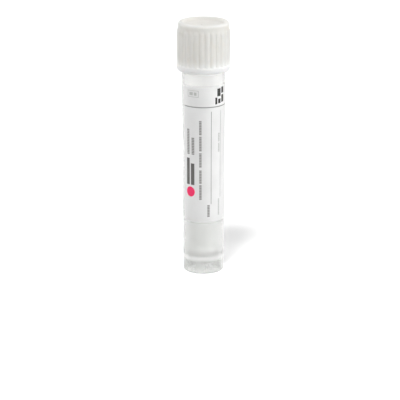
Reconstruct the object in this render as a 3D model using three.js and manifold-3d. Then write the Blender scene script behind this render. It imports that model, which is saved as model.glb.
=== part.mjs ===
// Screw-capped specimen tube that stands on its own skirt, with its label and its liquid medium.
// Units are millimetres. +Z is up, the foot stands on z = 0 and the axis is x = y = 0.
// The label is read from -Y, and the strip that it leaves bare is at the side.

import * as THREE from 'three';
import { mergeVertices } from 'three/addons/utils/BufferGeometryUtils.js';
import Module from 'manifold-3d';

// Roundness
const roundFacets = 72; // facets round the tube, the label and the medium
const facetsPerRidge = 4; // facets across one gripping ridge of the cap
const curveSteps = 6; // points along a swept curve of an outline
const filletSteps = 3; // points along a small rounded edge

// Clearances
const seatGap = 0.3; // mouth of the tube to the ceiling of the cap
const skirtGap = 0.25; // ledge of the tube to the lower edge of the cap
const plugGap = 0.3; // plug of the cap to the bore
const threadGap = 0.15; // crest of the tube's thread to the wall of the cap
const glueGap = 0.04; // label to the tube
const wetGap = 0.05; // medium to the bore

// Tube
const tubeHeight = 75.7; // foot to mouth
const neckDiameter = 11.9; // at the root of the thread
const neckLength = 12.55; // ledge to mouth
const neckWall = 0.8;
const threadDepth = 0.45; // room kept for the thread round the neck
const ledgeWidth = 0.53; // step from the neck out to the body
const bodyDraw = 0.24; // how much slimmer the body is at the foot, on the radius
const straightLength = 8.15; // full-width stretch under the ledge
const drawLength = 27; // stretch over which the body narrows
const drawBend = 0.4; // share of that stretch above which its curve steepens
const boreDraft = 0.1; // how much slimmer the bore is at its floor, on the radius
const floorHeight = 6.6; // where the bore turns into its cone
const coneDepth = 3.0;
const coneTipDiameter = 2.0;
const floorWall = 1.1;
const skirtWall = 1.1;
const footFillet = 0.45;
const edgeBreak = 0.25; // small chamfers of the ledge and the mouth

// Cap
const capTopWall = 1.4;
const capWall = 1.13; // at the root of the grooves
const ridgeCount = 28;
const tightenedTurn = -4.5; // degrees, where the ridges stand with the cap done up
const ridgeDepth = 0.32;
const grooveRunOut = 0.4; // length over which a groove sinks in above the ring
const ridgeRunOut = 1.6; // length over which a ridge fades away under the rim
const rimHeight = 1.5; // smooth rim above the ridges
const rimWidth = 1.1;
const rimFillet = 0.9;
const recessDepth = 0.95;
const recessSlope = 0.85; // how far the wall of the recess leans in
const recessDish = 0.15; // how much deeper the recess is at its middle
const gateDiameter = 1.6; // low round mark at the middle of the recess
const gateHeight = 0.12;
const ringHeight = 1.9; // smooth ring below the ridges, with its chamfer
const ringProud = 0.07; // how far the ring stands out past the ridges
const ringChamfer = 0.75; // height of the ring's rounded chamfer
const ringChamferWidth = 0.65;
const ringChamferBulge = 1 / 3; // 0 bulges it right out to the corner, 1/2 leaves it nearly flat
const leadIn = 0.4; // chamfer inside the lower edge
const plugDepth = 2.6;
const plugWall = 0.8;
const sleeveLength = 8; // sleeve that grips the stick of a swab
const sleeveWall = 1.1;
const socketDiameter = 2.4;
const funnelMouth = 5.6;
const funnelDepth = 3;
const funnelLip = 0.6;

// Label
const labelHeight = 42.6;
const labelDrop = 3.75; // ledge to the top edge of the label
const labelThickness = 0.07;
const labelStripAngle = 30; // degrees left bare
const labelStripCentre = 187; // degrees from +X, anticlockwise from above

// Medium
const fillVolume = 1000; // cubic millimetres
const meniscusRise = 0.35;
const meniscusWidth = 1.2;

// Finishes
const frostedTube = { color: 0xdadcd8, roughness: 0.4 };
const whiteCap = { color: 0xe6e6e2, roughness: 0.45 };
const labelFilm = { color: 0xf2f2f0, roughness: 0.6 };
const clearMedium = { color: 0xe8ecea, roughness: 0.05 };

// Radii and heights that follow from the sizes above
const neckRadius = neckDiameter / 2;
const ledgeHeight = tubeHeight - neckLength;
const bodyRadius = neckRadius + ledgeWidth;
const footRadius = bodyRadius - bodyDraw;
const boreRadius = neckRadius - neckWall;
const boreFloorRadius = boreRadius - boreDraft;
const coneTipRadius = coneTipDiameter / 2;
const coneTipHeight = floorHeight - coneDepth;
const coneSlope = coneDepth / (boreFloorRadius - coneTipRadius);
const capBoreRadius = neckRadius + threadDepth + threadGap;
const grooveRadius = capBoreRadius + capWall;
const ridgeRadius = grooveRadius + ridgeDepth;
const ringRadius = ridgeRadius + ringProud;
const capCeiling = tubeHeight + seatGap;
const recessFloor = capCeiling + capTopWall;
const capTop = recessFloor + recessDepth;
const capBottom = ledgeHeight + skirtGap;
const labelTop = ledgeHeight - labelDrop;
const labelBottom = labelTop - labelHeight;

const wasm = await Module();
wasm.setup();

const point = (radius, height) => new THREE.Vector2(radius, height);

// A rounded edge between two points, bulging towards a corner
function rounded(start, corner, end, steps) {
  return new THREE.QuadraticBezierCurve(start, corner, end).getPoints(steps);
}

// A profile of radii and heights, revolved about the Z axis
function revolve(profile, facets) {
  const geometry = new THREE.LatheGeometry(profile, facets);
  geometry.rotateX(Math.PI / 2);
  return geometry;
}

function solidOf(geometry) {
  const bare = geometry.clone();
  bare.deleteAttribute('normal');
  bare.deleteAttribute('uv');
  const merged = mergeVertices(bare);
  const mesh = new wasm.Mesh({
    numProp: 3,
    vertProperties: new Float32Array(merged.attributes.position.array),
    triVerts: new Uint32Array(merged.index.array),
  });
  return new wasm.Manifold(mesh);
}

function geometryOf(solid) {
  const mesh = solid.getMesh();
  const geometry = new THREE.BufferGeometry();
  geometry.setAttribute('position', new THREE.BufferAttribute(mesh.vertProperties, 3));
  geometry.setIndex(new THREE.BufferAttribute(mesh.triVerts, 1));
  geometry.computeVertexNormals();
  return geometry;
}

function piece(name, geometry, finish) {
  const material = new THREE.MeshStandardMaterial({ ...finish, metalness: 0 });
  const mesh = new THREE.Mesh(geometry, material);
  mesh.name = name;
  return mesh;
}

// Outside of the body from the foot up to the ledge: straight, then opening out under the ledge
function bodyOutline() {
  const drawTop = ledgeHeight - straightLength;
  const drawFoot = drawTop - drawLength;
  const bendHeight = drawTop - drawLength * drawBend;
  return [
    ...rounded(
      point(footRadius - footFillet, 0),
      point(footRadius, 0),
      point(footRadius, footFillet),
      filletSteps,
    ),
    ...rounded(
      point(footRadius, drawFoot),
      point(footRadius, bendHeight),
      point(bodyRadius, drawTop),
      curveSteps,
    ),
    point(bodyRadius, ledgeHeight - edgeBreak),
    point(bodyRadius - edgeBreak, ledgeHeight),
  ];
}

// Radius of the body's outside at a height, along the straight lines of its outline
function bodyRadiusAt(height) {
  const outline = bodyOutline();
  const above = outline.findIndex((p) => p.y > height);
  const low = outline[above - 1];
  const high = outline[above];
  const share = (height - low.y) / (high.y - low.y);
  return THREE.MathUtils.lerp(low.x, high.x, share);
}

// Underside: an open skirt round the cone, which hangs inside it with the floor's wall
function undersideOutline() {
  const wallAlongZ = floorWall * Math.hypot(1, coneSlope);
  const tipHeight = coneTipHeight - wallAlongZ;
  const skirtRadius = footRadius - skirtWall;
  const crotchHeight = tipHeight + (skirtRadius - coneTipRadius) * coneSlope;
  return [
    point(0, tipHeight),
    point(coneTipRadius, tipHeight),
    point(skirtRadius, crotchHeight),
    point(skirtRadius, edgeBreak),
    point(skirtRadius + edgeBreak, 0),
  ];
}

function neckOutline() {
  return [
    point(neckRadius, ledgeHeight),
    point(neckRadius, tubeHeight - edgeBreak),
    point(neckRadius - edgeBreak, tubeHeight),
    point(boreRadius + edgeBreak, tubeHeight),
  ];
}

function boreOutline() {
  return [
    point(boreRadius, tubeHeight - edgeBreak),
    point(boreFloorRadius, floorHeight),
    point(coneTipRadius, coneTipHeight),
    point(0, coneTipHeight),
  ];
}

function tube() {
  const profile = [...undersideOutline(), ...bodyOutline(), ...neckOutline(), ...boreOutline()];
  return piece('tube', revolve(profile, roundFacets), frostedTube);
}

// Radius of the ridged side at an angle: one arc a ridge, meeting its neighbours in the grooves
function ridgeRadiusAt(angle) {
  const pitch = (2 * Math.PI) / ridgeCount;
  const fromCrest = angle - pitch * Math.round(angle / pitch);
  const halfChord = grooveRadius * Math.sin(pitch / 2);
  const rise = ridgeRadius - grooveRadius * Math.cos(pitch / 2);
  const arcRadius = (halfChord ** 2 + rise ** 2) / (2 * rise);
  const arcCentre = ridgeRadius - arcRadius;
  const across = arcCentre * Math.sin(fromCrest);
  return arcCentre * Math.cos(fromCrest) + Math.sqrt(arcRadius ** 2 - across ** 2);
}

// Sleeve that grips the stick, plug and bore, from the axis out to the lower edge
function capInsideOutline() {
  const plugRadius = boreRadius - plugGap;
  const plugBottom = capCeiling - plugDepth;
  const socketRadius = socketDiameter / 2;
  const sleeveRadius = socketRadius + sleeveWall;
  const sleeveBottom = capCeiling - sleeveLength;
  return [
    point(0, capCeiling),
    point(socketRadius, capCeiling),
    point(socketRadius, sleeveBottom + funnelDepth),
    point(funnelMouth / 2, sleeveBottom),
    point(funnelMouth / 2 + funnelLip, sleeveBottom),
    point(sleeveRadius, sleeveBottom + funnelDepth),
    point(sleeveRadius, capCeiling),
    point(plugRadius - plugWall, capCeiling),
    point(plugRadius - plugWall, plugBottom),
    point(plugRadius - edgeBreak, plugBottom),
    point(plugRadius, plugBottom + edgeBreak),
    point(plugRadius, capCeiling),
    point(capBoreRadius, capCeiling),
    point(capBoreRadius, capBottom + leadIn),
    point(capBoreRadius + leadIn, capBottom),
  ];
}

function capRingOutline() {
  return [
    ...rounded(
      point(ringRadius - ringChamferWidth, capBottom),
      point(
        ringRadius - ringChamferWidth * ringChamferBulge,
        capBottom + ringChamfer * ringChamferBulge,
      ),
      point(ringRadius, capBottom + ringChamfer),
      filletSteps,
    ),
    point(ringRadius, capBottom + ringHeight),
  ];
}

// The two heights between which the ridges are whole, at the radius of the grooves
function ridgedOutline() {
  return [
    point(grooveRadius, capBottom + ringHeight + grooveRunOut),
    point(grooveRadius, capTop - rimHeight - ridgeRunOut),
  ];
}

// Rounded rim and the dished top with its low gate mark, in to the axis
function capTopOutline() {
  const recessRadius = grooveRadius - rimWidth;
  const dishFloor = recessFloor - recessDish;
  const gateRadius = gateDiameter / 2;
  return [
    point(grooveRadius, capTop - rimHeight),
    ...rounded(
      point(grooveRadius, capTop - rimFillet),
      point(grooveRadius, capTop),
      point(grooveRadius - rimFillet, capTop),
      filletSteps,
    ),
    point(recessRadius, capTop),
    point(recessRadius - recessSlope, recessFloor),
    point(gateRadius + gateHeight, dishFloor),
    point(gateRadius, dishFloor + gateHeight),
    point(0, dishFloor + gateHeight),
  ];
}

// The cap is one revolve, whose two ridged rows are then drawn out from the groove's radius
function cap() {
  const below = [...capInsideOutline(), ...capRingOutline()];
  const ridged = ridgedOutline();
  const profile = [...below, ...ridged, ...capTopOutline()];
  const geometry = revolve(profile, ridgeCount * facetsPerRidge);
  const position = geometry.attributes.position;
  for (let i = 0; i < position.count; i += 1) {
    const row = i % profile.length;
    if (row >= below.length && row < below.length + ridged.length) {
      const angle = Math.atan2(position.getY(i), position.getX(i));
      const growth = ridgeRadiusAt(angle) / grooveRadius;
      position.setX(i, position.getX(i) * growth);
      position.setY(i, position.getY(i) * growth);
    }
  }
  geometry.rotateZ(THREE.MathUtils.degToRad(tightenedTurn));
  return piece('cap', geometry, whiteCap);
}

// A thin wrap that follows the body, with a strip left bare so that the contents can be seen
function label() {
  const within = bodyOutline().filter((p) => p.y > labelBottom && p.y < labelTop);
  const heights = [labelBottom, ...within.map((p) => p.y), labelTop];
  const inside = heights.map((z) => point(bodyRadiusAt(z) + glueGap, z));
  const outside = inside.map((p) => point(p.x + labelThickness, p.y)).reverse();
  const profile = [...inside, ...outside, inside[0]].reverse();
  const wrap = solidOf(revolve(profile, roundFacets));
  return piece('label', geometryOf(wrap.subtract(stripCutter())), labelFilm);
}

function stripCutter() {
  const reach = 2 * bodyRadius;
  const half = THREE.MathUtils.degToRad(labelStripAngle / 2);
  const wedge = new THREE.Shape();
  wedge.moveTo(0, 0);
  wedge.lineTo(reach * Math.cos(half), -reach * Math.sin(half));
  wedge.lineTo(reach * Math.cos(half), reach * Math.sin(half));
  wedge.closePath();
  const geometry = new THREE.ExtrudeGeometry(wedge, { depth: tubeHeight, bevelEnabled: false });
  geometry.rotateZ(THREE.MathUtils.degToRad(labelStripCentre));
  return solidOf(geometry);
}

// Level that the fill reaches: the cone first, then the bore at the width of its floor
function fillLevel() {
  const wide = boreFloorRadius;
  const tip = coneTipRadius;
  const coneVolume = (Math.PI / 3) * coneDepth * (wide ** 2 + wide * tip + tip ** 2);
  return floorHeight + (fillVolume - coneVolume) / (Math.PI * wide ** 2);
}

function transportMedium() {
  const level = fillLevel();
  const edgeLevel = level + meniscusRise;
  const wallShare = (edgeLevel - floorHeight) / (tubeHeight - floorHeight);
  const edgeRadius = boreFloorRadius + boreDraft * wallShare - wetGap;
  const profile = [
    point(0, coneTipHeight + wetGap),
    point(coneTipRadius - wetGap, coneTipHeight + wetGap),
    point(boreFloorRadius - wetGap, floorHeight + wetGap),
    ...rounded(
      point(edgeRadius, edgeLevel),
      point(edgeRadius, level),
      point(edgeRadius - meniscusWidth, level),
      filletSteps,
    ),
    point(0, level),
  ];
  return piece('transport_medium', revolve(profile, roundFacets), clearMedium);
}

const specimenTube = new THREE.Group();
specimenTube.add(tube(), cap(), label(), transportMedium());

export default specimenTube;
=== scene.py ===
"""A screw-capped specimen swab tube with its label and its liquid medium, finished round its frame."""

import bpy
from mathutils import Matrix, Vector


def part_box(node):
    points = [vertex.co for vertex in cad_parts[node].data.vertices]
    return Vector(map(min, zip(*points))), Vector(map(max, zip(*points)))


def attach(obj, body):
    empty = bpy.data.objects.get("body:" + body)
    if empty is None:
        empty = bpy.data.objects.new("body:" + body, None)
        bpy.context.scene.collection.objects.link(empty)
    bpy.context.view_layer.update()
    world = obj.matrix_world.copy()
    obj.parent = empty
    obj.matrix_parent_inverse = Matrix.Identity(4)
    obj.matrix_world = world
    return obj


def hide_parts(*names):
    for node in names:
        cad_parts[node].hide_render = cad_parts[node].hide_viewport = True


bl_info = {
    "name": "Specimen swab tube",
    "version": (1, 0, 0),
    "blender": (4, 5, 0),
    "location": "3D View > Sidebar > Swab Tube",
    "description": "Builds the tube, the cap, the label and the medium of a specimen swab tube",
    "category": "Add Mesh",
}

import math
from collections import namedtuple

import bmesh
import bpy
from bpy.props import FloatProperty, FloatVectorProperty, IntProperty, PointerProperty
from mathutils import Vector

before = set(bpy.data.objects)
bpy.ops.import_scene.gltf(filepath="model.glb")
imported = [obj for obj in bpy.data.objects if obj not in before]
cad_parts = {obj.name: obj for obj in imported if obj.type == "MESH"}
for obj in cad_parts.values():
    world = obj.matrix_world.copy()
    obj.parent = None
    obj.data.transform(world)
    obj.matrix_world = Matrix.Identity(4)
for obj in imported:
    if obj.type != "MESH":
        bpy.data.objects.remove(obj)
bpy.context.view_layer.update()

MM = 0.001
WHITE = (1, 1, 1, 1)
PLASTIC_IOR = 1.49
LIQUID_IOR = 1.34
FOOT, MOUTH = (corner.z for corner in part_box("tube"))
CAP_BOTTOM, CAP_TOP = (corner.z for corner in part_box("cap"))
LABEL_BOTTOM, LABEL_TOP = (corner.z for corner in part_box("label"))
BODY_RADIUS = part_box("tube")[1].x
RING_RADIUS = max(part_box("cap")[1].x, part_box("cap")[1].y)
MEDIUM_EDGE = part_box("transport_medium")[1].z


# Settings


def setting(kind, **limits):
    """A function that makes settings of one kind, each from a name, a description and a default."""

    def make(name, description, default):
        return kind(name=name, description=description, default=default, **limits)

    return make


length = setting(FloatProperty, unit="LENGTH", min=0, precision=5)
share = setting(FloatProperty, subtype="FACTOR", min=0, max=1)
number = setting(FloatProperty, min=0)
count = setting(IntProperty, min=3)


def angle(name, description, degrees):
    return setting(FloatProperty, subtype="ANGLE")(name, description, math.radians(degrees))


def colour(name, description, red, green, blue):
    """A colour given as its displayed values from 0 to 255."""
    linear = [
        value / 12.92 if value <= 0.04045 else ((value + 0.055) / 1.055) ** 2.4
        for value in (red / 255, green / 255, blue / 255)
    ]
    return setting(FloatVectorProperty, subtype="COLOR", min=0, max=1)(name, description, linear)


class TubeSizes(bpy.types.PropertyGroup):
    mouth: length("Mouth height", "Foot to mouth", MOUTH)
    body_radius: length("Body radius", "Outside of the body under its ledge", BODY_RADIUS)
    neck_radius: length("Neck radius", "Outside of the neck at the root of its thread", 5.95 * MM)
    neck_length: length("Neck length", "Ledge to mouth", 12.55 * MM)
    neck_wall: length("Neck wall", "Wall of the neck", 0.8 * MM)
    foot_draw: length("Foot draw", "How much slimmer the body is at its foot", 0.24 * MM)
    straight_length: length("Straight length", "Full-width stretch under the ledge", 8.15 * MM)
    draw_length: length("Draw length", "Stretch over which the body narrows", 27 * MM)
    draw_bend: share("Draw bend", "Share of that stretch above which its curve steepens", 0.4)
    bore_draft: length("Bore draft", "How much slimmer the bore is at its floor", 0.1 * MM)
    floor_height: length("Floor height", "Where the bore turns into its cone", 6.6 * MM)
    cone_depth: length("Cone depth", "Height of the cone inside", 3 * MM)
    cone_tip_radius: length("Cone tip radius", "Flat tip of the cone inside", 1 * MM)
    floor_wall: length("Floor wall", "Wall of the cone", 1.1 * MM)
    skirt_wall: length("Skirt wall", "Wall of the skirt that the tube stands on", 1.1 * MM)
    foot_fillet: length("Foot fillet", "Rounded outer edge of the foot", 0.45 * MM)
    edge: length("Edge", "Small rounded edges of the ledge and the mouth", 0.25 * MM)
    segments: count("Segments", "Faces round the tube", 192)

    @property
    def ledge(self):
        return self.mouth - self.neck_length

    @property
    def bore_radius(self):
        return self.neck_radius - self.neck_wall

    @property
    def floor_radius(self):
        return self.bore_radius - self.bore_draft

    @property
    def cone_tip(self):
        return self.floor_height - self.cone_depth

    @property
    def foot_radius(self):
        return self.body_radius - self.foot_draw


class ThreadSizes(bpy.types.PropertyGroup):
    pitch: length("Pitch", "Rise in one turn", 3 * MM)
    height: length("Height", "Root to crest on the neck", 0.43 * MM)
    cap_height: length("Height in the cap", "Root to crest inside the cap", 0.47 * MM)
    crest: length("Crest", "Flat width of the crest", 0.5 * MM)
    flank: length("Flank", "Width of one sloping side", 0.4 * MM)
    start: length("Start", "Height at which the neck's thread starts", 65.4 * MM)
    turns: number("Turns", "Turns of the thread", 2.5)
    run_out: number("Run-out", "Turns over which each end fades away", 0.12)
    row: length("Row", "Spacing of the rows of faces along the thread", 0.1 * MM)


class CapSizes(bpy.types.PropertyGroup):
    top: length("Top", "Height of the rim", CAP_TOP)
    bottom: length("Bottom", "Height of the lower edge", CAP_BOTTOM)
    ring_radius: length("Ring radius", "Smooth ring below the ridges", RING_RADIUS)
    ring_height: length("Ring height", "Ring with its chamfer", 1.9 * MM)
    ring_chamfer: length("Ring chamfer", "Height of the rounded chamfer", 0.75 * MM)
    ring_chamfer_width: length("Ring chamfer width", "Width of that chamfer", 0.65 * MM)
    groove_radius: length("Groove radius", "Side of the cap in the grooves", 7.68 * MM)
    ridge_depth: length("Ridge depth", "Groove to crest of a gripping ridge", 0.32 * MM)
    ridge_count: count("Ridges", "Gripping ridges round the cap", 28)
    ridge_turn: angle("Ridge turn", "Where the ridges stand with the cap done up", -4.5)
    groove_run_out: length("Groove run-out", "Length over which a groove sinks in", 0.4 * MM)
    ridge_run_out: length("Ridge run-out", "Length over which a ridge fades away", 1.6 * MM)
    bore_radius: length("Bore radius", "Inside wall of the cap", 6.55 * MM)
    rim_height: length("Rim height", "Smooth rim above the ridges", 1.5 * MM)
    rim_width: length("Rim width", "Groove radius to the edge of the recess", 1.1 * MM)
    rim_fillet: length("Rim fillet", "Rounded outer edge of the rim", 0.9 * MM)
    recess_depth: length("Recess depth", "Rim to the edge of the sunk top", 0.95 * MM)
    recess_slope: length("Recess slope", "How far the wall of the recess leans in", 0.85 * MM)
    recess_fillet: length("Recess fillet", "Rounded edges of the recess", 0.35 * MM)
    recess_dish: length("Recess dish", "How much deeper the middle of the top is", 0.15 * MM)
    gate_radius: length("Gate radius", "Low round mark at the middle", 0.8 * MM)
    gate_height: length("Gate height", "Height of that mark", 0.12 * MM)
    top_wall: length("Top wall", "Wall under the sunk top", 1.4 * MM)
    lead_in: length("Lead-in", "Chamfer inside the lower edge", 0.4 * MM)
    plug_radius: length("Plug radius", "Plug that seals the bore of the tube", 4.85 * MM)
    plug_wall: length("Plug wall", "Wall of the plug", 0.8 * MM)
    plug_depth: length("Plug depth", "Length of the plug", 2.6 * MM)
    sleeve_length: length("Sleeve length", "Sleeve that grips the stick of a swab", 8 * MM)
    sleeve_wall: length("Sleeve wall", "Wall of the sleeve", 1.1 * MM)
    socket_radius: length("Socket radius", "Hole of the sleeve", 1.2 * MM)
    funnel_radius: length("Funnel radius", "Mouth of the sleeve's funnel", 2.8 * MM)
    funnel_depth: length("Funnel depth", "Depth of that funnel", 3 * MM)
    funnel_lip: length("Funnel lip", "Flat edge of the funnel", 0.6 * MM)
    edge: length("Edge", "Small rounded edges", 0.2 * MM)
    facets: count("Facets", "Faces across one ridge", 12)

    @property
    def ceiling(self):
        return self.top - self.recess_depth - self.top_wall

    @property
    def crest(self):
        return self.groove_radius + self.ridge_depth

    @property
    def ring_top(self):
        return self.bottom + self.ring_height


class LabelSizes(bpy.types.PropertyGroup):
    top: length("Top", "Height of the top edge", LABEL_TOP)
    bottom: length("Bottom", "Height of the bottom edge", LABEL_BOTTOM)
    glue_gap: length("Glue gap", "Tube to label", 0.04 * MM)
    thickness: length("Thickness", "Thickness of the film", 0.07 * MM)
    strip_angle: angle("Strip angle", "Strip left bare for a look at the contents", 30)
    strip_centre: angle("Strip centre", "Middle of the strip, anticlockwise from +X", 187)
    columns: count("Columns", "Faces round the label", 264)
    rows: count("Rows", "Faces from edge to edge", 60)


class MediumSizes(bpy.types.PropertyGroup):
    edge_level: length("Edge level", "Height at which the medium meets the bore", MEDIUM_EDGE)
    meniscus_rise: length("Meniscus rise", "Level to edge level", 0.35 * MM)
    meniscus_width: length("Meniscus width", "Width of its curved edge", 1.2 * MM)
    wet_gap: length("Wet gap", "Medium to bore", 0.03 * MM)
    wet_fade: length("Wet fade", "Height over which the tone of the wet bore fades out", 6 * MM)


class Finishes(bpy.types.PropertyGroup):
    tube: colour("Tube", "Frosted natural plastic", 252, 252, 251)
    tube_shade: colour("Tube shade", "Thicker, cloudier places of the tube", 248, 248, 247)
    wet_tint: colour("Wet tint", "Tone of the bore where liquid stands against it", 231, 232, 231)
    # Painted shade: colour that darkens the hollow foot under the floor
    foot_tint: colour("Foot tint", "Tone of the hollow foot under the floor", 221, 222, 221)
    tube_clearness: share("Tube clearness", "How much is seen through the tube", 0.7)
    tube_light: share("Tube light", "Lamp light that passes a face of the tube", 0.94)
    neck_light: share("Neck light", "Lamp light that passes a face of the threaded neck", 0.46)
    cap: colour("Cap", "White plastic of the cap", 226, 225, 221)
    cap_shade: colour("Cap shade", "Greyer places of the cap", 221, 220, 215)
    # Painted glow: lighter colour of the thin ring, for light that passes through its wall
    cap_ring: colour("Cap ring", "Thin, lighter ring at the open end of the cap", 248, 248, 246)
    # Painted shade: greyer colour in the sunk top inside the rim
    cap_hollow: colour("Cap hollow", "Sunk top of the cap inside its rim", 219, 217, 212)
    cap_light: share("Cap light", "Lamp light that passes a face of the cap", 0.77)
    cap_depth: length("Cap depth", "How far light spreads inside the cap's plastic", 2.8 * MM)
    film: colour("Label film", "White film of the label", 226, 226, 226)
    film_shade: colour("Label film shade", "Greyer fibres of the film", 218, 218, 218)
    film_light: share("Film light", "Lamp light that passes a face of the label", 0.78)
    film_glow: share("Film glow", "Light that spreads inside the label's film", 0.8)
    film_depth: length("Film depth", "How far that light spreads", 0.3 * MM)
    dark_ink: colour("Dark ink", "Printed bars", 88, 85, 83)
    text_ink: colour("Text ink", "Printed lines of text", 128, 126, 124)
    grey_ink: colour("Grey ink", "Rules", 136, 138, 134)
    pale_ink: colour("Pale ink", "Small text and the boxed mark", 178, 180, 177)
    black_ink: colour("Black ink", "Stamped batch blocks", 24, 24, 24)
    accent_ink: colour("Accent ink", "Round spot of colour", 252, 30, 98)
    medium: colour("Medium", "Clear liquid", 242, 243, 242)
    medium_shade: colour("Medium shade", "Faint haze in the liquid", 233, 235, 233)


class StageSettings(bpy.types.PropertyGroup):
    camera_distance: length("Camera distance", "Camera to axis, along the floor", 552 * MM)
    camera_height: length("Camera height", "Height of the camera", 191.9 * MM)
    camera_dip: angle("Camera dip", "How far the camera looks down", 17.096)
    lens: number("Lens", "Focal length in millimetres on a 36 mm sensor", 168.19)
    shift: FloatProperty(name="Shift", description="Sideways shift of the lens", default=-0.0088)
    floor: colour("Floor", "Pale floor", 225, 225, 225)
    floor_reach: length("Floor reach", "Middle of the floor to its sides", 3)
    floor_lift: number("Floor lift", "White added to the floor where it is looked at", 0.335)
    sky_light: number("Sky light", "Even light from the whole sky", 0.81)
    key_light: number("Key light", "Light high in front, which gives the shadow", 1.66)
    right_light: number("Right light", "Large soft light on the right", 1.68)
    rear_light: number("Rear light", "Large soft light behind on the left", 0.75)


class SwabTubeSettings(bpy.types.PropertyGroup):
    tube: PointerProperty(type=TubeSizes)
    thread: PointerProperty(type=ThreadSizes)
    cap: PointerProperty(type=CapSizes)
    label: PointerProperty(type=LabelSizes)
    medium: PointerProperty(type=MediumSizes)
    finishes: PointerProperty(type=Finishes)
    stage: PointerProperty(type=StageSettings)


# Node trees


def worked_out(operation, swapped=False):
    """An operator of a signal: the node that works it out."""

    def apply(self, other):
        values = (other, self) if swapped else (self, other)
        return self.wiring.maths(operation, *values)

    return apply


class Signal:
    """What a socket gives. It takes the usual operators, so that a formula reads as one."""

    def __init__(self, wiring, socket):
        self.wiring = wiring
        self.socket = socket

    __add__ = worked_out("ADD")
    __radd__ = worked_out("ADD", swapped=True)
    __sub__ = worked_out("SUBTRACT")
    __rsub__ = worked_out("SUBTRACT", swapped=True)
    __mul__ = worked_out("MULTIPLY")
    __truediv__ = worked_out("DIVIDE")
    __rtruediv__ = worked_out("DIVIDE", swapped=True)
    __pow__ = worked_out("POWER")
    __lt__ = worked_out("LESS_THAN")
    __gt__ = worked_out("GREATER_THAN")


class Wiring:
    """Adds nodes to a tree and joins them."""

    def __init__(self, tree):
        self.tree = tree

    def feed(self, socket, value):
        value = getattr(value, "socket", value)
        if isinstance(value, bpy.types.NodeSocket):
            self.tree.links.new(value, socket)
        else:
            socket.default_value = value

    def add(self, kind, values=None, **settings):
        node = self.tree.nodes.new(kind)
        for name, value in settings.items():
            setattr(node, name, value)
        for key, value in (values or {}).items():
            self.feed(node.inputs[key], value)
        return node

    def take(self, output, kind, values=None, **settings):
        """Adds a node and gives one of its outputs."""
        return Signal(self, self.add(kind, values, **settings).outputs[output])

    def take_all(self, kind, values=None, **settings):
        """Adds a node and gives its outputs by their names."""
        outputs = self.add(kind, values, **settings).outputs
        return {socket.name: Signal(self, socket) for socket in outputs}

    def maths(self, operation, *values):
        return self.take(0, "ShaderNodeMath", dict(enumerate(values)), operation=operation)

    def total(self, first, *others):
        for other in others:
            first = first + other
        return first

    def clamped(self, value):
        return self.take(0, "ShaderNodeClamp", {"Value": value})

    def eased(self, value, low, high):
        """0 below low, 1 above high and a smooth step between them."""
        ends = {"From Min": low, "From Max": high}
        kind = "SMOOTHSTEP"
        return self.take(0, "ShaderNodeMapRange", {"Value": value, **ends}, interpolation_type=kind)

    def until(self, value, limit, fade):
        """1 up to a limit, easing to 0 over a fade past it."""
        return 1.0 - self.eased(value, limit, limit + fade)

    def blended(self, factor, first, second, blend_type="MIX"):
        """Two colours mixed. The node's sockets go by number, because their names repeat."""
        colours = {0: factor, 6: first, 7: second}
        return self.take(2, "ShaderNodeMix", colours, data_type="RGBA", blend_type=blend_type)


SOCKET_KINDS = {float: "NodeSocketFloat", int: "NodeSocketInt", tuple: "NodeSocketColor"}


def node_group(name, kind, inputs, outputs):
    """A node tree with named sockets, each given by its default or, where it has none, its kind.

    Returns its wiring and what its input node gives.
    """
    wiring = Wiring(bpy.data.node_groups.new(name, kind))
    for in_out, sockets in (("INPUT", inputs), ("OUTPUT", outputs)):
        for label, value in sockets.items():
            socket_type = SOCKET_KINDS.get(type(value), value)
            made = wiring.tree.interface.new_socket(label, in_out=in_out, socket_type=socket_type)
            if socket_type != value:
                made.default_value = value
    return wiring, wiring.take_all("NodeGroupInput")


def shared_tree(name, build):
    """A tree that is built once and then found by its name."""
    return bpy.data.node_groups.get(name) or build(name)


def geometry_tree(name, sizes):
    """A geometry node tree that takes a mesh, named sizes and a material."""
    inputs = {"Geometry": "NodeSocketGeometry", **sizes, "Material": "NodeSocketMaterial"}
    return node_group(name, "GeometryNodeTree", inputs, {"Geometry": "NodeSocketGeometry"})


def parts_of(wiring, vector):
    return wiring.take_all("ShaderNodeSeparateXYZ", {0: vector}).values()


def position_parts(wiring):
    return parts_of(wiring, wiring.take(0, "GeometryNodeInputPosition"))


def push_out(wiring, inputs, growth, mark):
    """Moves each point away from the axis by its growth, a share of its radius, where it is marked."""
    x, y, _ = position_parts(wiring)
    named = {"Name": mark}
    growth *= wiring.take("Attribute", "GeometryNodeInputNamedAttribute", named, data_type="FLOAT")
    offset = wiring.take(0, "ShaderNodeCombineXYZ", {"X": x * growth, "Y": y * growth})
    mesh = inputs["Geometry"]
    for kind, values in (
        ("GeometryNodeSetPosition", {"Offset": offset}),
        ("GeometryNodeRemoveAttribute", named),
        ("GeometryNodeRealizeInstances", {}),
        ("GeometryNodeSetMaterial", {"Material": inputs["Material"]}),
    ):
        mesh = wiring.take(0, kind, {"Geometry": mesh, **values})
    wiring.add("NodeGroupOutput", {"Geometry": mesh})


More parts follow.
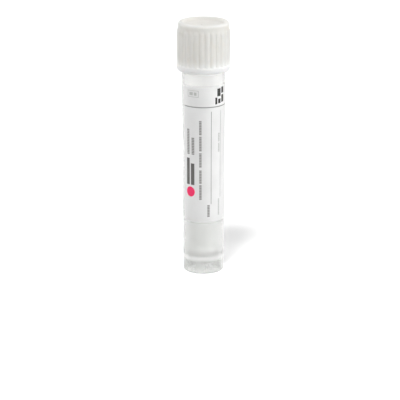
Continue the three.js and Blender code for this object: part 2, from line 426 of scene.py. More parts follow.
def ridge_tree(name):
    """Gripping ridges: one arc a ridge, meeting its neighbours in the grooves."""
    sizes = {"Ridges": 28, "Groove Radius": 1.0, "Ridge Depth": 0.1, "Turn": 0.0}
    wiring, inputs = geometry_tree(name, sizes)
    maths = wiring.maths
    x, y, _ = position_parts(wiring)
    groove = inputs["Groove Radius"]
    crest = groove + inputs["Ridge Depth"]
    pitch = math.tau / inputs["Ridges"]
    half = pitch / 2.0
    turned = maths("ARCTAN2", y, x) - inputs["Turn"]
    from_crest = turned - pitch * maths("ROUND", turned / pitch)
    half_chord = groove * maths("SINE", half)
    rise = crest - groove * maths("COSINE", half)
    arc = (half_chord**2.0 + rise**2.0) / (rise * 2.0)
    centre = crest - arc
    across = centre * maths("SINE", from_crest)
    along = centre * maths("COSINE", from_crest)
    radius = along + maths("SQRT", arc**2.0 - across**2.0)
    push_out(wiring, inputs, radius / groove - 1.0, "ridge")
    return wiring.tree


def thread_tree(name):
    """A screw thread raised from a round wall, outwards or, with a negative height, inwards."""
    sizes = {"Pitch": 1.0, "Height": 0.1, "Crest": 0.1, "Flank": 0.1}
    sizes |= {"Start": 0.0, "Turns": 2.0, "Run-out": 0.1}
    wiring, inputs = geometry_tree(name, sizes)
    maths = wiring.maths
    x, y, z = position_parts(wiring)
    round_share = maths("FRACT", maths("ARCTAN2", y, x) / math.tau)
    level = (z - inputs["Start"]) / inputs["Pitch"] - round_share
    whole = maths("ROUND", level)
    along = whole + round_share
    apart = maths("ABSOLUTE", level - whole) * inputs["Pitch"]
    foot = inputs["Crest"] / 2.0 + inputs["Flank"]
    raised = inputs["Height"] * wiring.clamped((foot - apart) / inputs["Flank"])
    for turns in (along, inputs["Turns"] - along):
        raised *= wiring.eased(turns, 0.0, inputs["Run-out"])
    push_out(wiring, inputs, raised / maths("SQRT", x**2.0 + y**2.0), "thread")
    return wiring.tree


def place_on_piece(wiring):
    return wiring.take("Object", "ShaderNodeTexCoord")


def surface_group(name):
    """A worked surface: slow cloudy changes of tone and of roughness, and a fine grain."""
    cloud_low, cloud_high, cloud_share = 0.35, 0.7, 0.75
    scales = {"Clouds Per Metre": 200.0, "Grains Per Metre": 4000.0}
    gloss = {"Roughness": 0.4, "Roughness Spread": 0.1}
    wiring, inputs = node_group(
        name,
        "ShaderNodeTree",
        {"Colour": WHITE, "Shade": WHITE, **scales, **gloss},
        {"Colour": WHITE, "Roughness": 0.4, "Height": 0.0},
    )
    place = {"Vector": place_on_piece(wiring)}
    clouds, grain = (
        wiring.take("Fac", "ShaderNodeTexNoise", {**place, "Scale": inputs[scale], "Detail": detail})
        for scale, detail in zip(scales, (4.0, 2.0))
    )
    cloudy = wiring.eased(clouds, cloud_low, cloud_high)
    mottled = cloudy * cloud_share + grain * (1 - cloud_share)
    surface = {
        "Colour": wiring.blended(mottled, inputs["Colour"], inputs["Shade"]),
        "Roughness": inputs["Roughness"] + (mottled - 0.5) * inputs["Roughness Spread"],
        "Height": grain,
    }
    wiring.add("NodeGroupOutput", surface)
    return wiring.tree


def rgba(value):
    return (*value, 1.0)


def emptied(owner):
    """The wiring of the tree of a material or a world, once its own nodes are cleared away."""
    owner.use_nodes = True
    owner.node_tree.nodes.clear()
    return Wiring(owner.node_tree)


def new_material(name):
    material = bpy.data.materials.new(name)
    return material, emptied(material)


def part_clear(wiring, shader, clearness):
    """A shader with a clear one mixed in."""
    clear = wiring.take(0, "ShaderNodeBsdfTransparent", {"Color": WHITE})
    return wiring.take(0, "ShaderNodeMixShader", {0: clearness, 1: shader.outputs[0], 2: clear})


def lets_light_through(wiring, shader, passed):
    """Each face passes a share of the lamps' light straight through, to what is behind it."""
    lamp_ray = wiring.take("Is Shadow Ray", "ShaderNodeLightPath")
    surface = part_clear(wiring, shader, lamp_ray * passed)
    output = next(node for node in wiring.tree.nodes if node.type == "OUTPUT_MATERIAL")
    wiring.feed(output.inputs["Surface"], surface)


# What each surface is like: clouds and grains in a metre, roughness and how far it varies, and the
# strength and the depth of its grain.
Surface = namedtuple("Surface", "clouds grains roughness spread bump depth")
SURFACES = {
    "tube": Surface(160.0, 5000.0, 0.2, 0.08, 0.12, 0.02 * MM),
    "cap": Surface(220.0, 4200.0, 0.42, 0.12, 0.2, 0.03 * MM),
    "film": Surface(120.0, 7000.0, 0.5, 0.1, 0.1, 0.01 * MM),
    "medium": Surface(350.0, 2500.0, 0.03, 0.02, 0.0, 0.01 * MM),
}


def surfaced(wiring, finishes, name, constants):
    """A Principled shader with the surface of a name, in the colour of that name and its shade.

    Returns it with the surface's colour.
    """
    surface = SURFACES[name]
    skin = wiring.take_all(
        "ShaderNodeGroup",
        {
            "Colour": rgba(getattr(finishes, name)),
            "Shade": rgba(getattr(finishes, name + "_shade")),
            "Clouds Per Metre": surface.clouds,
            "Grains Per Metre": surface.grains,
            "Roughness": surface.roughness,
            "Roughness Spread": surface.spread,
        },
        node_tree=shared_tree("Worked surface", surface_group),
    )
    lumps = {"Height": skin["Height"], "Strength": surface.bump, "Distance": surface.depth}
    varying = {
        "Base Color": skin["Colour"],
        "Roughness": skin["Roughness"],
        "Normal": wiring.take(0, "ShaderNodeBump", lumps),
    }
    shader = wiring.add("ShaderNodeBsdfPrincipled", {**varying, **constants})
    wiring.add("ShaderNodeOutputMaterial", {"Surface": shader.outputs[0]})
    return shader, skin["Colour"]


def below(wiring, height, fade):
    """1 under a height of the object, easing to 0 over a fade above it."""
    _, _, up = parts_of(wiring, place_on_piece(wiring))
    return wiring.until(up, height, fade)


def within(wiring, radius, fade):
    """1 nearer to the axis than a radius, easing to 0 over a fade outside it."""
    place = {0: place_on_piece(wiring), 1: (1, 1, 0)}
    flat = {0: wiring.take(0, "ShaderNodeVectorMath", place, operation="MULTIPLY")}
    away = wiring.take("Value", "ShaderNodeVectorMath", flat, operation="LENGTH")
    return wiring.until(away, radius, fade)


def frosted_plastic(finishes, tube, medium):
    """Milky plastic, a little darker in the wet part of its bore, with painted shade at its hollow
    foot.
    """
    material, wiring = new_material("Frosted natural plastic")
    constants = {"Transmission Weight": finishes.tube_clearness, "IOR": PLASTIC_IOR}
    shader, toned = surfaced(wiring, finishes, "tube", constants)
    wet_level = medium.edge_level + medium.meniscus_width - medium.wet_fade
    inside = within(wiring, tube.bore_radius, tube.edge)
    filled = below(wiring, wet_level, medium.wet_fade) - below(wiring, tube.cone_tip, tube.cone_depth)
    hollow = below(wiring, tube.skirt_wall, tube.cone_tip - tube.skirt_wall)
    # The liquid tones the wet bore; under the cone's tip and inside the hollow skirt the colour is
    # darkened as painted shade.
    for place, tint in (
        (inside * filled, finishes.wet_tint),
        (below(wiring, tube.cone_tip, tube.floor_wall), finishes.foot_tint),
        (inside * hollow, finishes.foot_tint),
    ):
        toned = wiring.blended(place, toned, rgba(tint), "MULTIPLY")
    wiring.feed(shader.inputs["Base Color"], toned)
    body_gain = below(wiring, tube.ledge, tube.edge) * (finishes.tube_light - finishes.neck_light)
    lets_light_through(wiring, shader, finishes.neck_light + body_gain)
    return material


def white_plastic(finishes, cap):
    """Dense white plastic, with a painted glow at its thin ring and painted shade in its sunk top."""
    material, wiring = new_material("White moulded plastic")
    constants = {
        "Subsurface Weight": 1.0,
        "Subsurface Radius": (1.0, 0.95, 0.9),
        "Subsurface Scale": finishes.cap_depth,
        "IOR": PLASTIC_IOR,
        "Specular IOR Level": 0.35,
    }
    shader, toned = surfaced(wiring, finishes, "cap", constants)
    # Painted glow: the thin ring at the open end is coloured lighter, for light that passes through
    # its wall.
    ring = below(wiring, cap.bottom + cap.ring_chamfer, 2 * cap.ring_height)
    # Painted shade: the sunk top inside the rim is coloured greyer, for the shade of the recess.
    wall_foot = cap.groove_radius - cap.rim_width - cap.recess_slope
    inside = within(wiring, wall_foot, cap.recess_slope)
    high = 1.0 - below(wiring, cap.top - cap.rim_height, cap.edge)
    for place, colour_there in ((ring, finishes.cap_ring), (inside * high, finishes.cap_hollow)):
        toned = wiring.blended(place, toned, rgba(colour_there))
    wiring.feed(shader.inputs["Base Color"], toned)
    lets_light_through(wiring, shader, finishes.cap_light)
    return material


def clear_liquid(finishes):
    material, wiring = new_material("Clear liquid medium")
    surfaced(wiring, finishes, "medium", {"Transmission Weight": 0.95, "IOR": LIQUID_IOR})
    return material


def block_group():
    """A printed block: 1 inside a rectangle on the unrolled label, measured in millimetres."""
    names = ("Across", "Up", "Left", "Right", "Bottom", "Top")
    wiring, inputs = node_group(
        "Printed block", "ShaderNodeTree", dict.fromkeys(names, 0.0), {"Ink": 0.0}
    )
    across, up, left, right, bottom, top = (inputs[name] for name in names)
    ink = (across > left) * (across < right) * (up > bottom) * (up < top)
    wiring.add("NodeGroupOutput", {"Ink": ink})
    return wiring.tree


def words_group():
    """A line of text as plain hatched bars, one a word, that run up the label from its start."""
    names = {"Up": 0.0, "Start": 0.0, "Pitch": 2.0, "Shortest": 0.84, "Longest": 0.94, "Seed": 0.0}
    names |= {"Hatch Pitch": 0.5, "Hatch Width": 0.55, "Hatch Floor": 0.5}
    wiring, inputs = node_group("Printed words", "ShaderNodeTree", names, {"Ink": 0.0})
    maths = wiring.maths
    along = inputs["Up"] - inputs["Start"]
    steps = along / inputs["Pitch"]
    word = {"W": maths("FLOOR", steps) + inputs["Seed"]}
    noise = wiring.take("Value", "ShaderNodeTexWhiteNoise", word, noise_dimensions="1D")
    end = inputs["Shortest"] + (inputs["Longest"] - inputs["Shortest"]) * noise
    bar = maths("FRACT", steps) < end
    stroke = maths("FRACT", along / inputs["Hatch Pitch"]) < inputs["Hatch Width"]
    darkness = maths("MAXIMUM", stroke, inputs["Hatch Floor"])
    wiring.add("NodeGroupOutput", {"Ink": bar * darkness})
    return wiring.tree


# Print on the label: ink, left, right, bottom, top, and for a line of text the pitch of its words
# and its seed. The spot has its middle and its radius. Millimetres from the front and from the foot.
RULES = (
    ("grey_ink", -7.0, 16.4, 53.0, 53.32),
    ("grey_ink", 2.36, 2.56, 22.6, 51.8),
    ("grey_ink", 5.98, 6.1, 24.4, 51.8),
)
BOXED_MARK = (
    ("pale_ink", -5.25, -1.5, 58.16, 58.32),
    ("pale_ink", -5.25, -1.5, 56.25, 56.41),
    ("pale_ink", -5.25, -5.09, 56.25, 58.32),
    ("pale_ink", -1.66, -1.5, 56.25, 58.32),
    ("pale_ink", -4.6, -3.4, 56.8, 57.75),
    ("pale_ink", -3.0, -2.15, 56.8, 57.75),
)
BATCH_BLOCKS = (
    ("black_ink", 3.75, 4.5, 53.9, 56.0),
    ("black_ink", 4.85, 5.9, 54.1, 55.5),
    ("black_ink", 4.5, 5.9, 56.3, 58.7),
    ("black_ink", 6.25, 7.4, 54.3, 56.6),
    ("black_ink", 6.25, 7.4, 57.1, 59.0),
)
BARS = (
    ("dark_ink", -6.0, -4.75, 28.6, 37.0),
    ("dark_ink", -4.3, -3.0, 28.6, 35.4),
)
TEXT_LINES = (
    ("text_ink", -1.4, -0.6, 24.1, 49.2, 5.1, 3.0),
    ("text_ink", 1.2, 2.0, 18.6, 22.4, 4.4, 11.0),
    ("pale_ink", 5.0, 5.65, 38.9, 44.9, 3.2, 23.0),
    ("pale_ink", 5.0, 5.65, 18.8, 24.2, 5.6, 37.0),
    ("text_ink", -5.8, -4.8, 38.2, 46.2, 9.4, 41.0),
    ("text_ink", -4.0, -3.0, 38.2, 43.6, 6.3, 59.0),
)
SPOT = ("accent_ink", -4.45, 26.4, 1.6)


def printed_film(finishes):
    """White label film with its printed rules, lines of text, bars and spot."""
    material, wiring = new_material("Printed label film")
    constants = {
        "Subsurface Weight": finishes.film_glow,
        "Subsurface Radius": (1.0, 1.0, 1.0),
        "Subsurface Scale": finishes.film_depth,
    }
    shader, toned = surfaced(wiring, finishes, "film", constants)
    unrolled = wiring.take(0, "ShaderNodeUVMap", uv_map="unrolled")
    across, up, _ = parts_of(wiring, unrolled)
    block = block_group()
    words = words_group()
    masks = {}

    def printed(ink, left, right, bottom, top, bars=None):
        edges = {"Left": left, "Right": right, "Bottom": bottom, "Top": top}
        place = {"Across": across, "Up": up}
        mask = wiring.take("Ink", "ShaderNodeGroup", {**place, **edges}, node_tree=block)
        masks.setdefault(ink, []).append(mask * bars if bars else mask)

    for row in RULES + BOXED_MARK + BATCH_BLOCKS + BARS:
        printed(*row)
    for ink, left, right, bottom, top, pitch, seed in TEXT_LINES:
        line = {"Up": up, "Start": bottom, "Pitch": pitch, "Seed": seed}
        bars = wiring.take("Ink", "ShaderNodeGroup", line, node_tree=words)
        printed(ink, left, right, bottom, top, bars)
    ink, *middle, radius = SPOT
    ends = {0: unrolled, 1: (*middle, 0)}
    apart = wiring.take("Value", "ShaderNodeVectorMath", ends, operation="DISTANCE")
    masks[ink] = [apart < radius]
    for ink, places in masks.items():
        mask = wiring.clamped(wiring.total(*places))
        toned = wiring.blended(mask, toned, rgba(getattr(finishes, ink)))
    wiring.feed(shader.inputs["Base Color"], toned)
    lets_light_through(wiring, shader, finishes.film_light)
    return material


# Meshes


def rounded(start, corner, end, steps=6):
    """Points of a rounded edge between two points, bulging towards a corner."""
    start, corner, end = Vector(start), Vector(corner), Vector(end)
    points = []
    for step in range(steps + 1):
        t = step / steps
        points.append(tuple(start * (1 - t) ** 2 + corner * 2 * t * (1 - t) + end * t * t))
    return points


def soft_corner(corner, before, after, steps=6):
    """Points of a rounded corner, from one offset before it to another after it."""
    x, z = corner
    start = (x + before[0], z + before[1])
    end = (x + after[0], z + after[1])
    return rounded(start, corner, end, steps)


def marked(points, *values):
    """Points of an outline with the values of its marks."""
    return [(*point, *values) for point in points]


def rows_between(radius, low, high, spacing):
    """Points up or down a straight wall, evenly spaced, without its two ends."""
    steps = max(2, round(abs(high - low) / spacing))
    return [(radius, low + (high - low) * step / steps) for step in range(1, steps)]


# Radius under which a point of an outline is on the axis.
ON_AXIS = 1e-7


def revolved(name, outline, segments, *marks):
    """A closed mesh turned round the Z axis. Outline rows are radius, height and a value a mark."""
    shape = bmesh.new()
    layers = [shape.verts.layers.float.new(mark) for mark in marks]
    rings = []
    for radius, height, *values in outline:
        steps = 1 if radius < ON_AXIS else segments
        ring = []
        for step in range(steps):
            turn = math.tau * step / segments
            vertex = shape.verts.new((radius * math.cos(turn), radius * math.sin(turn), height))
            for layer, value in zip(layers, values):
                vertex[layer] = value
            ring.append(vertex)
        rings.append(ring)
    for low, high in zip(rings, rings[1:]):
        for step in range(segments):
            after = (step + 1) % segments
            corners = [low[step % len(low)], low[after % len(low)]]
            corners += [high[after % len(high)], high[step % len(high)]]
            shape.faces.new(list(dict.fromkeys(corners)))
    return finished_mesh(name, shape)


def placed(name, data):
    """An object in the scene that shows a mesh, a lamp or a camera."""
    made = bpy.data.objects.new(name, data)
    bpy.context.scene.collection.objects.link(made)
    return made


def finished_mesh(name, shape):
    """Turns the faces outwards, smooths them and puts the mesh into the scene as an object."""
    bmesh.ops.recalc_face_normals(shape, faces=shape.faces)
    mesh = bpy.data.meshes.new(name)
    shape.to_mesh(mesh)
    shape.free()
    mesh.shade_smooth()
    return placed(name, mesh)


def shaped(piece, tree, values):
    """Runs a geometry tree on a piece and keeps the result as its plain mesh."""
    modifier = piece.modifiers.new(tree.name, "NODES")
    modifier.node_group = tree
    for item in tree.interface.items_tree:
        if item.item_type == "SOCKET" and item.in_out == "INPUT" and item.name in values:
            modifier[item.identifier] = values[item.name]
    depsgraph = bpy.context.evaluated_depsgraph_get()
    mesh = bpy.data.meshes.new_from_object(piece.evaluated_get(depsgraph))
    piece.modifiers.remove(modifier)
    piece.data = mesh
    mesh.name = piece.name


def sharpened(piece, degrees=40):
    """Smooths a piece, apart from the edges where its faces turn by more than an angle."""
    piece.data.shade_smooth()
    piece.data.set_sharp_from_angle(angle=math.radians(degrees))


def seated(piece, body, slot, *nodes):
    """The piece rides on its body and stands for the frame's own nodes, which it hides. Its slot is
    not used.
    """
    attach(piece, body)
    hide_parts(*nodes)


def body_outline(tube):
    """Outside of the body from the foot up to the ledge: straight, then opening out."""
    foot, fillet, edge = tube.foot_radius, tube.foot_fillet, tube.edge
    draw_top = tube.ledge - tube.straight_length
    draw_foot = draw_top - tube.draw_length
    bend = draw_top - tube.draw_length * tube.draw_bend
    return [
        *soft_corner((foot, FOOT), (-fillet, 0), (0, fillet)),
        *rounded((foot, draw_foot), (foot, bend), (tube.body_radius, draw_top), steps=24),
        *soft_corner((tube.body_radius, tube.ledge), (0, -edge), (-edge, 0), steps=4),
    ]


def body_radius_at(tube, height):
    outline = body_outline(tube)
    for low, high in zip(outline, outline[1:]):
        if low[1] <= height <= high[1] and high[1] > low[1]:
            share_up = (height - low[1]) / (high[1] - low[1])
            return low[0] + (high[0] - low[0]) * share_up
    return tube.body_radius


def underside_outline(tube):
    """An open skirt round the cone, which hangs inside it with the floor's wall."""
    slope = tube.cone_depth / (tube.floor_radius - tube.cone_tip_radius)
    tip = tube.cone_tip - tube.floor_wall * math.hypot(1, slope)
    skirt = tube.foot_radius - tube.skirt_wall
    crotch = tip + (skirt - tube.cone_tip_radius) * slope
    edge = tube.edge
    return [
        (0, tip),
        (tube.cone_tip_radius, tip),
        *soft_corner((skirt, crotch), (-edge, -edge * slope), (0, -edge), steps=3),
        (skirt, edge),
        (skirt + edge, 0),
    ]


def tube_outline(tube, thread):
    """Outline of the whole tube. Its mark says where the thread is cut."""
    neck, bore, mouth, edge = tube.neck_radius, tube.bore_radius, tube.mouth, tube.edge
    outside = [*underside_outline(tube), *body_outline(tube), (neck, tube.ledge)]
    inside = [
        *soft_corner((neck, mouth), (0, -edge), (-edge, 0), steps=4),
        *soft_corner((bore, mouth), (edge, 0), (0, -edge), steps=4),
        (tube.floor_radius, tube.floor_height),
        (tube.cone_tip_radius, tube.cone_tip),
        (0, tube.cone_tip),
    ]
    threaded = rows_between(neck, tube.ledge, mouth - edge, thread.row)
    return marked(outside, 0.0) + marked(threaded, 1.0) + marked(inside, 0.0)


def cap_inside_outline(cap):
    """Sleeve that grips the stick, then the plug, from the axis out to the cap's wall."""
    ceiling, edge = cap.ceiling, cap.edge
    plug_inside = cap.plug_radius - cap.plug_wall
    plug_bottom = ceiling - cap.plug_depth
    sleeve = cap.socket_radius + cap.sleeve_wall
    sleeve_bottom = ceiling - cap.sleeve_length
    funnel_top = sleeve_bottom + cap.funnel_depth
    return [
        (0, ceiling),
        (cap.socket_radius, ceiling),
        (cap.socket_radius, funnel_top),
        (cap.funnel_radius, sleeve_bottom),
        (cap.funnel_radius + cap.funnel_lip, sleeve_bottom),
        (sleeve, funnel_top),
        (sleeve, ceiling),
        (plug_inside, ceiling),
        *soft_corner((plug_inside, plug_bottom), (0, edge), (edge, 0), steps=3),
        *soft_corner((cap.plug_radius, plug_bottom), (-edge, 0), (0, edge), steps=3),
        (cap.plug_radius, ceiling),
        (cap.bore_radius, ceiling),
    ]


def cap_ring_outline(cap):
    """Lead-in at the open end, the rounded chamfer and the smooth ring over it."""
    ring, width, height = cap.ring_radius, cap.ring_chamfer_width, cap.ring_chamfer
    pull = 1 / 3
    return [
        (cap.bore_radius, cap.bottom + cap.lead_in),
        (cap.bore_radius + cap.lead_in, cap.bottom),
        *rounded(
            (ring - width, cap.bottom),
            (ring - width * pull, cap.bottom + height * pull),
            (ring, cap.bottom + height),
        ),
        *soft_corner((ring, cap.ring_top), (0, -cap.edge), (cap.crest - ring, 0), steps=4),
    ]


def ridged_outline(cap):
    """The side of the cap: the grooves sink in above the ring, and the ridges fade under the rim."""
    fade_foot = cap.top - cap.rim_height - cap.ridge_run_out
    steps = 10
    sinking = []
    fading = []
    for step in range(steps + 1):
        t = step / steps
        eased = math.sin(t * math.pi / 2) ** 2
        sunk = cap.crest - cap.ridge_depth * eased
        sinking.append((sunk, cap.ring_top + cap.groove_run_out * t, eased))
        fading.append((cap.groove_radius, fade_foot + cap.ridge_run_out * t, 1 - eased))
    return sinking[1:] + fading


def cap_top_outline(cap):
    """Rounded rim and the dished top with its low gate mark, in to the axis."""
    top, groove, fillet, edge = cap.top, cap.groove_radius, cap.rim_fillet, cap.recess_fillet
    recess = groove - cap.rim_width
    wall_foot = recess - cap.recess_slope
    recess_floor = top - cap.recess_depth
    dish_floor = recess_floor - cap.recess_dish
    lean = edge * cap.recess_slope / cap.recess_depth
    gate, mark = cap.gate_radius, cap.gate_height
    return [
        *soft_corner((groove, top), (0, -fillet), (-fillet, 0), steps=12),
        *rounded((groove - fillet, top), (recess, top), (recess - lean, top - edge))[1:],
        *soft_corner((wall_foot, recess_floor), (lean, edge), (-edge, 0)),
        (gate + mark, dish_floor),
        (gate, dish_floor + mark),
        (0, dish_floor + mark),
    ]


def cap_outline(cap, thread):
    """Outline of the whole cap. Its marks say how far a ridge has risen and where a thread is cut."""
    wall = rows_between(cap.bore_radius, cap.ceiling, cap.bottom + cap.lead_in, thread.row)
    return (
        marked(cap_inside_outline(cap), 0.0, 0.0)
        + marked(wall, 0.0, 1.0)
        + marked(cap_ring_outline(cap), 0.0, 0.0)
        + marked(ridged_outline(cap), 0.0)
        + marked(cap_top_outline(cap), 0.0, 0.0)
    )


def medium_outline(medium, tube):
    """The liquid fills the cone and the foot of the bore, and climbs a little at its edge."""
    gap = medium.wet_gap
    level = medium.edge_level - medium.meniscus_rise
    up = (medium.edge_level - tube.floor_height) / (tube.mouth - tube.floor_height)
    radius = tube.floor_radius + tube.bore_draft * up - gap
    meniscus = (0, medium.meniscus_rise), (-medium.meniscus_width, 0)
    return [
        (0, tube.cone_tip + gap),
        (tube.cone_tip_radius - gap, tube.cone_tip + gap),
        (tube.floor_radius - gap, tube.floor_height + gap),
        *soft_corner((radius, level), *meniscus, steps=8),
        (0, level),
    ]


def label_piece(label, tube):
    """A thin wrap that follows the body, with its map unrolled in millimetres from the front."""
    shape = bmesh.new()
    unrolled = shape.loops.layers.uv.new("unrolled")
    front = math.radians(270)
    start = label.strip_centre + label.strip_angle / 2
    sweep = math.tau - label.strip_angle
    height = label.top - label.bottom
    levels = [label.bottom + height * row / label.rows for row in range(label.rows + 1)]
    inside = [body_radius_at(tube, level) + label.glue_gap for level in levels]
    flat_radius = inside[-1] + label.thickness
    turns = {}
    columns = []
    for column in range(label.columns + 1):
        turn = start + sweep * column / label.columns
        walls = []
        for extra in (0, label.thickness):
            wall = []
            for radius, level in zip(inside, levels):
                away = radius + extra
                vertex = shape.verts.new((away * math.cos(turn), away * math.sin(turn), level))
                turns[vertex] = turn
                wall.append(vertex)
            walls.append(wall)
        columns.append(walls)

    def face(corners, outer=False):
        for loop in shape.faces.new(corners).loops:
            across = (turns[loop.vert] - front) * flat_radius / MM
            up = loop.vert.co.z / MM
            loop[unrolled].uv = (across, up if outer else -up)

    for (inner, outer), (next_inner, next_outer) in zip(columns, columns[1:]):
        for row in range(label.rows):
            for wall, next_wall in ((outer, next_outer), (inner, next_inner)):
                corners = [wall[row], next_wall[row], next_wall[row + 1], wall[row + 1]]
                face(corners, wall is outer)
        for row in (0, label.rows):
            face([outer[row], next_outer[row], next_inner[row], inner[row]])
    for inner, outer in (columns[0], columns[-1]):
        for row in range(label.rows):
            face([outer[row], outer[row + 1], inner[row + 1], inner[row]])
    return finished_mesh("label_wrap", shape)


# Operators


def settings_of(context):
    return context.scene.swab_tube


def cut_thread(piece, thread, height, start, plastic):
    """Raises the screw thread on the wall that a piece has marked for it."""
    values = {
        "Pitch": thread.pitch,
        "Height": height,
        "Crest": thread.crest,
        "Flank": thread.flank,
        "Start": start,
        "Turns": thread.turns,
        "Run-out": thread.run_out,
        "Material": plastic,
    }
    shaped(piece, shared_tree("Screw thread", thread_tree), values)


class SWABTUBE_OT_tube(bpy.types.Operator):
    """Build the frosted tube with the thread of its neck"""

    bl_idname = "swab_tube.build_tube"
    bl_label = "Build Tube"

    def execute(self, context):
        settings = settings_of(context)
        tube, thread = settings.tube, settings.thread
        plastic = frosted_plastic(settings.finishes, tube, settings.medium)
        piece = revolved("tube_shell", tube_outline(tube, thread), tube.segments, "thread")
        cut_thread(piece, thread, thread.height, thread.start, plastic)
        sharpened(piece)
        seated(piece, "tube", "frosted_tube", "tube")
        return {"FINISHED"}


class SWABTUBE_OT_cap(bpy.types.Operator):
    """Build the ridged screw cap with its plug and its swab-holding sleeve"""

    bl_idname = "swab_tube.build_cap"
    bl_label = "Build Cap"

    def execute(self, context):
        settings = settings_of(context)
        cap, thread = settings.cap, settings.thread
        plastic = white_plastic(settings.finishes, cap)
        segments = cap.ridge_count * cap.facets
        piece = revolved("cap_shell", cap_outline(cap, thread), segments, "ridge", "thread")
        ridges = {
            "Ridges": cap.ridge_count,
            "Groove Radius": cap.groove_radius,
            "Ridge Depth": cap.ridge_depth,
            "Turn": cap.ridge_turn,
            "Material": plastic,
        }
        shaped(piece, shared_tree("Gripping ridges", ridge_tree), ridges)
        cut_thread(piece, thread, -thread.cap_height, thread.start - thread.pitch / 2, plastic)
        sharpened(piece, degrees=35)
        seated(piece, "cap", "white_cap", "cap")
        return {"FINISHED"}


class SWABTUBE_OT_label(bpy.types.Operator):
    """Build the printed label that wraps the body and leaves a strip bare"""

    bl_idname = "swab_tube.build_label"
    bl_label = "Build Label"

    def execute(self, context):
        settings = settings_of(context)
        piece = label_piece(settings.label, settings.tube)
        piece.data.materials.append(printed_film(settings.finishes))
        sharpened(piece)
        seated(piece, "tube", "label_film", "label")
        return {"FINISHED"}


class SWABTUBE_OT_medium(bpy.types.Operator):
    """Build the clear liquid medium in the foot of the tube"""

    bl_idname = "swab_tube.build_medium"
    bl_label = "Build Medium"

    def execute(self, context):
        settings = settings_of(context)
        outline = medium_outline(settings.medium, settings.tube)
        piece = revolved("medium_fill", outline, settings.tube.segments)
        piece.data.materials.append(clear_liquid(settings.finishes))
        sharpened(piece)
        seated(piece, "tube", "clear_medium", "transport_medium")
        return {"FINISHED"}


def seen_rays(wiring):
    """1 for rays that look at a thing, straight or through and off a surface; 0 for its light."""
    path = wiring.take_all("ShaderNodeLightPath")
    return wiring.clamped(
        path["Is Camera Ray"] + path["Is Glossy Ray"] + path["Is Transmission Ray"]
    )


def build_floor(stage):
    """A pale floor that is seen from above only, so that the foot can be looked at from below."""
    shape = bmesh.new()
    bmesh.ops.create_grid(shape, x_segments=1, y_segments=1, size=stage.floor_reach)
    floor = finished_mesh("floor", shape)
    material, wiring = new_material("Pale floor")
    shader = wiring.add(
        "ShaderNodeBsdfPrincipled",
        {
            "Base Color": rgba(stage.floor),
            "Roughness": 0.9,
            "Specular IOR Level": 0.1,
            "Emission Color": WHITE,
            "Emission Strength": seen_rays(wiring) * stage.floor_lift,
        },
    )
    underside = wiring.take("Backfacing", "ShaderNodeNewGeometry")
    looked_at = wiring.take("Is Camera Ray", "ShaderNodeLightPath")
    surface = part_clear(wiring, shader, underside * looked_at)
    wiring.add("ShaderNodeOutputMaterial", {"Surface": surface})
    floor.data.materials.append(material)


# Lights in degrees: round from the front to the right, up, and how wide each looks from the object.
LIGHTS = {
    "sky_light": (0, 90, 172),
    "key_light": (-15, 64, 7),
    "right_light": (76, 18, 50),
    "rear_light": (-120, 20, 50),
}


def build_light(name, strength):
    """A far light that shines from its place towards the object, and into its thin walls."""
    turn, rise, spread = (math.radians(part) for part in LIGHTS[name])
    lamp = bpy.data.lights.new(name, "SUN")
    lamp.energy = strength
    lamp.angle = spread
    lamp.cycles.use_multiple_importance_sampling = False
    light = placed(name, lamp)
    away, up = math.cos(rise), math.sin(rise)
    light.location = (math.sin(turn) * away, -math.cos(turn) * away, up)
    light.rotation_euler = light.location.to_track_quat("Z", "Y").to_euler()


def build_sky():
    """White wherever it is looked at. It gives no light of its own: the sky light does."""
    world = bpy.data.worlds.new("Pale studio")
    wiring = emptied(world)
    light = {"Color": WHITE, "Strength": seen_rays(wiring)}
    sky = wiring.take(0, "ShaderNodeBackground", light)
    wiring.add("ShaderNodeOutputWorld", {"Surface": sky})
    bpy.context.scene.world = world


# The camera: its sensor in millimetres, and how near and how far it sees in metres.
SENSOR_WIDTH = 36
NEAREST_SEEN = 0.01
FARTHEST_SEEN = 10


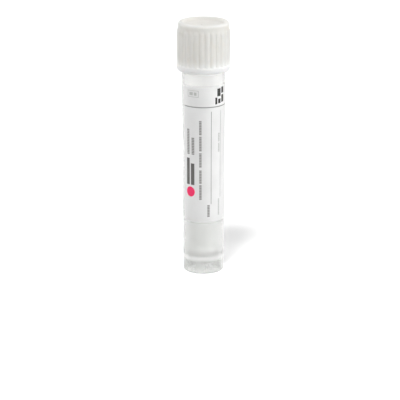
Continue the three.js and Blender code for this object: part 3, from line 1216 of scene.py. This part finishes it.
def build_camera(stage):
    lens = bpy.data.cameras.new("camera")
    lens.lens = stage.lens
    lens.sensor_width = SENSOR_WIDTH
    lens.shift_x = stage.shift
    lens.clip_start, lens.clip_end = NEAREST_SEEN, FARTHEST_SEEN
    camera = placed("camera", lens)
    camera.location = (0, -stage.camera_distance, stage.camera_height)
    camera.rotation_euler = (math.pi / 2 - stage.camera_dip, 0, 0)
    bpy.context.scene.camera = camera


class SWABTUBE_OT_stage(bpy.types.Operator):
    """Build the pale floor, the soft lights, the sky and the camera"""

    bl_idname = "swab_tube.build_stage"
    bl_label = "Build Stage"

    def execute(self, context):
        stage = settings_of(context).stage
        build_floor(stage)
        build_sky()
        for name in LIGHTS:
            build_light(name, getattr(stage, name))
        build_camera(stage)
        context.scene.view_settings.view_transform = "Standard"
        return {"FINISHED"}


class SWABTUBE_PT_sidebar(bpy.types.Panel):
    """Lists what can be built"""

    bl_label = "Swab Tube"
    bl_idname = "SWABTUBE_PT_sidebar"
    bl_space_type = "VIEW_3D"
    bl_region_type = "UI"
    bl_category = "Swab Tube"

    def draw(self, context):
        for operator in OPERATORS:
            self.layout.operator(operator.bl_idname)
        settings = settings_of(context)
        for name in SwabTubeSettings.__annotations__:
            group = getattr(settings, name)
            box = self.layout.box()
            box.label(text=name.capitalize())
            for prop in group.__annotations__:
                box.prop(group, prop)


SETTINGS = (
    TubeSizes,
    ThreadSizes,
    CapSizes,
    LabelSizes,
    MediumSizes,
    Finishes,
    StageSettings,
    SwabTubeSettings,
)
OPERATORS = (
    SWABTUBE_OT_tube,
    SWABTUBE_OT_cap,
    SWABTUBE_OT_label,
    SWABTUBE_OT_medium,
    SWABTUBE_OT_stage,
)
CLASSES = (*SETTINGS, *OPERATORS, SWABTUBE_PT_sidebar)


def register():
    for made in CLASSES:
        bpy.utils.register_class(made)
    bpy.types.Scene.swab_tube = PointerProperty(type=SwabTubeSettings)


def unregister():
    del bpy.types.Scene.swab_tube
    for made in reversed(CLASSES):
        bpy.utils.unregister_class(made)


def main():
    register()
    bpy.ops.swab_tube.build_tube()
    bpy.ops.swab_tube.build_cap()
    bpy.ops.swab_tube.build_label()
    bpy.ops.swab_tube.build_medium()
    bpy.ops.swab_tube.build_stage()


if __name__ == "__main__":
    main()
